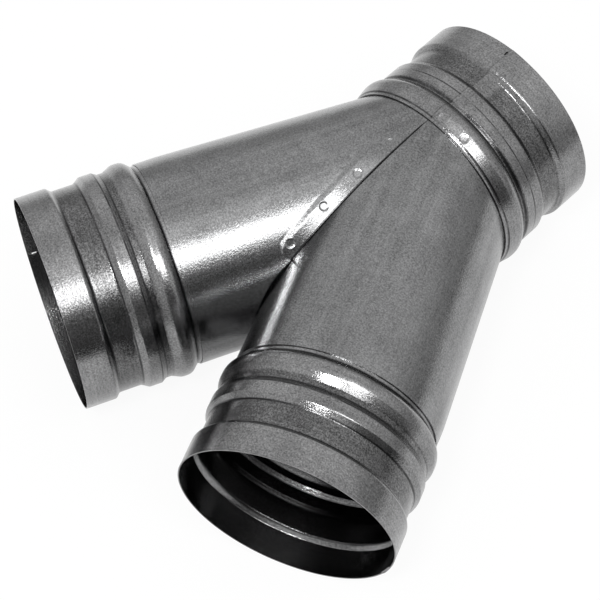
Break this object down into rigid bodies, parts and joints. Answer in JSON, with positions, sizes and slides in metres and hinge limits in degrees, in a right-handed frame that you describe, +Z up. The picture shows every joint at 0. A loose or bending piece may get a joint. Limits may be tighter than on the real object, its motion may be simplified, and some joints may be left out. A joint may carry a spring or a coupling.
{
  "type": "symmetric duct wye fitting",
  "caption": "Sheet-metal wye with one inlet and two equal legs at a narrow angle, each end a rolled, beaded collar with a groove for a hose band",
  "frame": {"origin": "the centre of the fitting's outline in plan, on the surface that it lies on", "axes": "+Z up, square to the plane of the three axes; +Y out of the inlet along its axis; +X towards the right leg, seen from above with the inlet away from the viewer"},
  "size_m": [0.247, 0.2438, 0.1044],
  "materials": {
    "leg_sheet": "dull galvanised sheet, fine grain, soft streaks along the leg",
    "collar_sheet": "galvanised sheet burnished by the rolling of its beads"
  },
  "bodies": {
    "root": {"left_leg": "leg_sheet", "right_leg": "leg_sheet", "left_collar": "collar_sheet", "right_collar": "collar_sheet", "inlet_collar": "collar_sheet"}
  },
  "joints": []
}
